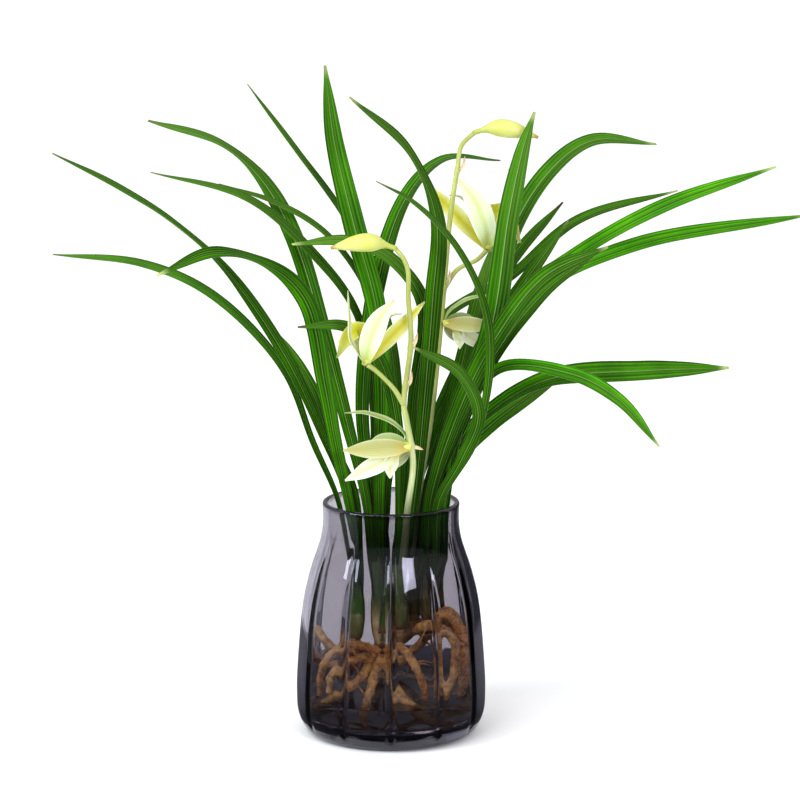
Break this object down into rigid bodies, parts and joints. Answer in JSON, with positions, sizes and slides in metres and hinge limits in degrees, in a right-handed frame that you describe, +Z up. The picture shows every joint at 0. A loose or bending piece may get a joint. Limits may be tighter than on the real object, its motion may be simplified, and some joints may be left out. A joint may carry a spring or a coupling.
{
  "type": "orchid in glass vase",
  "caption": "Bare-rooted narrow-leaved orchid with arching grassy leaves, two flower spikes and thick roots, standing in a fluted smoked-glass vase of shallow water.",
  "frame": {"origin": "centre of the vase's flat foot, on the surface that it stands on", "axes": "+Z up, +X to the viewer's right along the widest spread of the leaves, +Y away from the viewer"},
  "size_m": [0.4892, 0.1986, 0.421],
  "materials": {
    "smoked_glass": "gloss",
    "water": "gloss",
    "root": "satin",
    "shoot": "satin",
    "leaf": "satin",
    "spike": "satin",
    "petal": "satin",
    "lip": "satin",
    "bud": "satin"
  },
  "bodies": {
    "root": {"vase": "smoked_glass", "water": "water", "roots": "root", "shoot_1": "shoot", "shoot_2": "shoot", "shoot_3": "shoot", "shoot_4": "shoot", "shoot_5": "shoot", "shoot_6": "shoot", "shoot_7": "shoot", "leaf_01": "leaf", "leaf_02": "leaf", "leaf_03": "leaf", "leaf_04": "leaf", "leaf_05": "leaf", "leaf_06": "leaf", "leaf_07": "leaf", "leaf_08": "leaf", "leaf_09": "leaf", "leaf_10": "leaf", "leaf_11": "leaf", "leaf_12": "leaf", "leaf_13": "leaf", "leaf_14": "leaf", "leaf_15": "leaf", "leaf_16": "leaf", "leaf_17": "leaf", "leaf_18": "leaf", "leaf_19": "leaf", "leaf_20": "leaf", "leaf_21": "leaf", "leaf_22": "leaf", "leaf_23": "leaf", "leaf_24": "leaf", "leaf_25": "leaf", "leaf_26": "leaf", "leaf_27": "leaf", "leaf_28": "leaf", "leaf_29": "leaf", "leaf_30": "leaf", "spike_left": "spike", "spike_right": "spike", "bud_left": "bud", "bud_right": "bud", "bloom_left_low": "petal", "lip_left_low": "lip", "bloom_left_high": "petal", "lip_left_high": "lip", "bloom_right_low": "petal", "lip_right_low": "lip", "bloom_right_high": "petal", "lip_right_high": "lip"}
  },
  "joints": []
}
